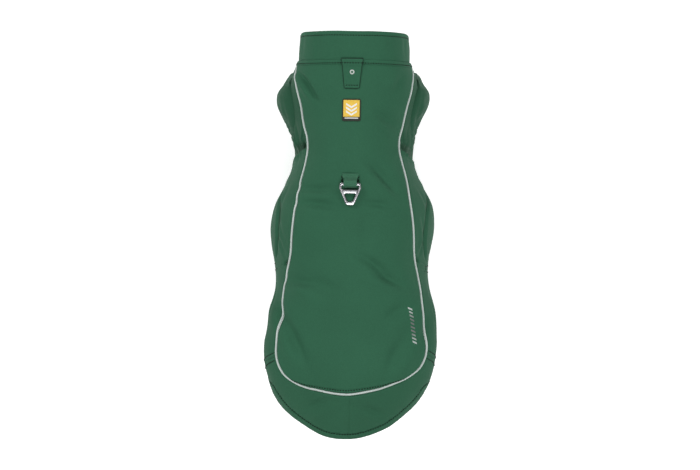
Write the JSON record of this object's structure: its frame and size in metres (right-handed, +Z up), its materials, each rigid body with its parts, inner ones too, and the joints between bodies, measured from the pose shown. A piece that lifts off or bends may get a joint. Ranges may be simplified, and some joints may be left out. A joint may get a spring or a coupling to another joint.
{
  "type": "dog jacket",
  "caption": "Close-fitting sleeved jacket for a dog, shown filled out, with a stand-up collar, a reflective piped seam round the back, a light loop and a leash ring on webbing.",
  "frame": {"origin": "on the back panel's inner face, on the middle line, where it lies on the dog's back about half way along the garment", "axes": "+Z up, +Y along the back towards the collar, +X to the dog's right"},
  "size_m": [0.2106, 0.495, 0.2665],
  "materials": {
    "shell": "matte woven shell cloth, green",
    "shell_side": "matte shell cloth, green, slightly darker",
    "piping": "grey reflective piping",
    "webbing": "ribbed woven webbing, dark green",
    "metal": "satin cast aluminium",
    "label": "woven label, yellow"
  },
  "bodies": {
    "jacket": {"back_panel": "shell", "side_panel_left": "shell_side", "side_panel_right": "shell_side", "flank_panel_left": "shell_side", "flank_panel_right": "shell_side", "tail_panel_left": "shell_side", "tail_panel_right": "shell_side", "shoulder_panel_left": "shell_side", "shoulder_panel_right": "shell_side", "sleeve_left": "shell_side", "sleeve_right": "shell_side", "chest_panel": "shell_side", "belly_panel": "shell_side", "collar": "shell", "neck_band": "shell", "light_tab": "shell", "label": "label", "piping": "piping", "leash_webbing": "webbing"},
    "ring": {"leash_ring": "metal"}
  },
  "joints": [
    {"name": "ring_swing", "type": "hinge", "parent": "jacket", "child": "ring", "pos_m": [-0.0026, 0.0592, 0.00618], "axis": [-1, 0, 0], "range_deg": [0, 150]}
  ]
}
